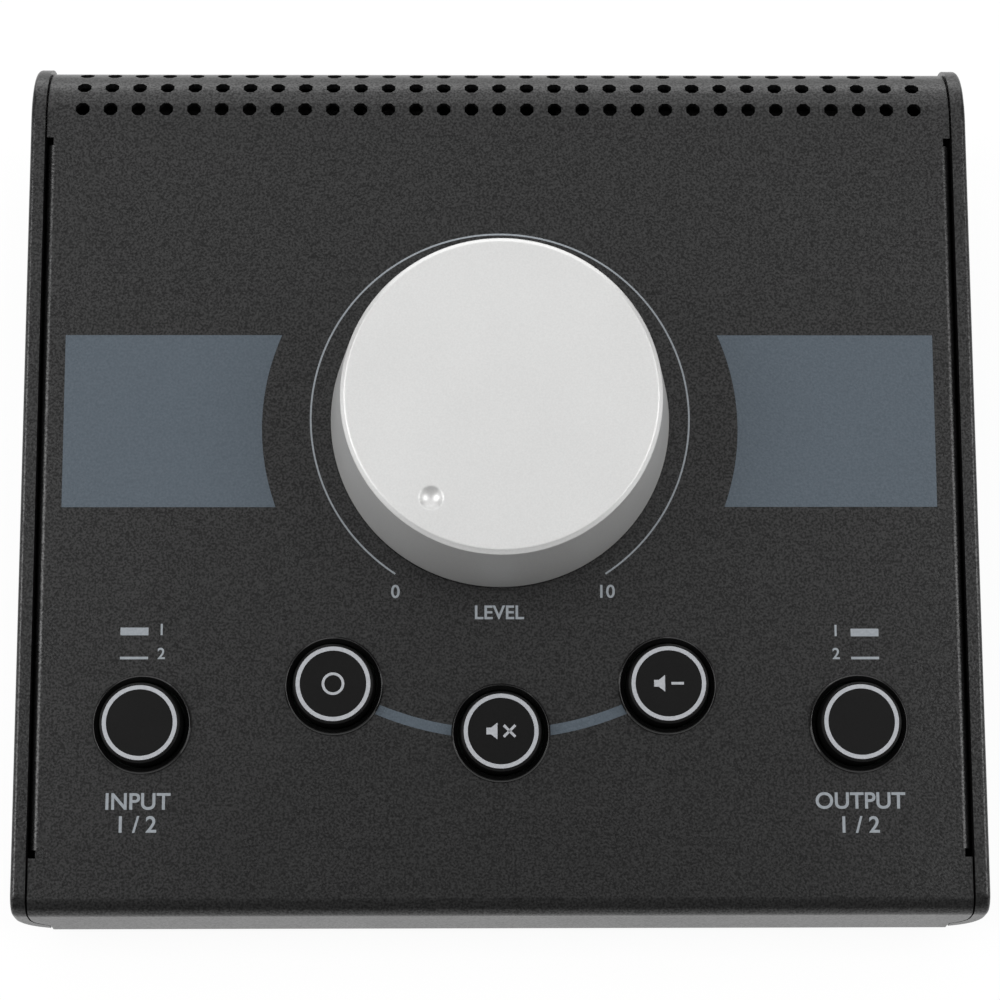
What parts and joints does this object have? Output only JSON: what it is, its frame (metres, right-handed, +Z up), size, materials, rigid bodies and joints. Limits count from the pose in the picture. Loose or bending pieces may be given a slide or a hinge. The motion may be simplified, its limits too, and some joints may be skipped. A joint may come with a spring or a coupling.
{
  "type": "studio monitor controller",
  "caption": "Sloping desktop monitor controller with a large turned volume knob, round push buttons, a vented folded steel case and rear jacks.",
  "frame": {"origin": "middle of the case's footprint, on the desk under the rubber feet", "axes": "+X to the right as seen by the user in front, +Y to the rear jacks, +Z up"},
  "size_m": [0.186, 0.1706, 0.0646],
  "materials": {
    "case_paint": "satin",
    "knob_aluminium": "satin",
    "button_black": "matte",
    "bezel_black": "gloss",
    "jack_plastic": "matte",
    "nut_nickel": "satin",
    "screw_black": "satin",
    "foot_rubber": "matte",
    "board_green": "satin",
    "part_steel": "satin",
    "brass": "satin",
    "ribbon_grey": "matte"
  },
  "bodies": {
    "case": {"base_shell": "case_paint", "bezel_dim": "bezel_black", "bezel_mono": "bezel_black", "bezel_mute": "bezel_black", "bezel_select_left": "bezel_black", "bezel_select_right": "bezel_black", "control_board": "board_green", "control_board_standoffs": "part_steel", "cover_front_screws": "screw_black", "cover_rear_screws": "screw_black", "feet": "foot_rubber", "header_control": "jack_plastic", "header_jack": "jack_plastic", "jack_1": "jack_plastic", "jack_2": "jack_plastic", "jack_3": "jack_plastic", "jack_4": "jack_plastic", "jack_5": "jack_plastic", "jack_6": "jack_plastic", "jack_7": "jack_plastic", "jack_8": "jack_plastic", "jack_board": "board_green", "jack_nuts": "nut_nickel", "mini_jack": "jack_plastic", "pot_nut": "nut_nickel", "rear_panel": "case_paint", "rear_panel_screws": "screw_black", "ribbon_cable": "ribbon_grey", "switch_dim": "jack_plastic", "switch_mono": "jack_plastic", "switch_mute": "jack_plastic", "switch_select_left": "jack_plastic", "switch_select_right": "jack_plastic", "top_cover": "case_paint", "volume_pot": "part_steel"},
    "volume_dial": {"volume_knob": "knob_aluminium", "knob_hub": "brass", "pot_shaft": "part_steel"},
    "select_left_push": {"button_select_left": "button_black", "plunger_select_left": "jack_plastic"},
    "mono_push": {"button_mono": "button_black", "plunger_mono": "jack_plastic"},
    "mute_push": {"button_mute": "button_black", "plunger_mute": "jack_plastic"},
    "dim_push": {"button_dim": "button_black", "plunger_dim": "jack_plastic"},
    "select_right_push": {"button_select_right": "button_black", "plunger_select_right": "jack_plastic"}
  },
  "joints": [
    {"name": "volume_turn", "type": "hinge", "parent": "case", "child": "volume_dial", "pos_m": [0, 0.00876, 0.03519], "axis": [0, 0.1736, -0.9848], "range_deg": [0, 293]},
    {"name": "select_left_press", "type": "slide", "parent": "case", "child": "select_left_push", "axis": [0, 0.1736, -0.9848], "range_m": [0, 0.003], "stiffness_N_per_m": 300, "springref_m": -0.003},
    {"name": "mono_press", "type": "slide", "parent": "case", "child": "mono_push", "axis": [0, 0.1736, -0.9848], "range_m": [0, 0.003], "stiffness_N_per_m": 300, "springref_m": -0.003},
    {"name": "mute_press", "type": "slide", "parent": "case", "child": "mute_push", "axis": [0, 0.1736, -0.9848], "range_m": [0, 0.003], "stiffness_N_per_m": 300, "springref_m": -0.003},
    {"name": "dim_press", "type": "slide", "parent": "case", "child": "dim_push", "axis": [0, 0.1736, -0.9848], "range_m": [0, 0.003], "stiffness_N_per_m": 300, "springref_m": -0.003},
    {"name": "select_right_press", "type": "slide", "parent": "case", "child": "select_right_push", "axis": [0, 0.1736, -0.9848], "range_m": [0, 0.003], "stiffness_N_per_m": 300, "springref_m": -0.003}
  ]
}
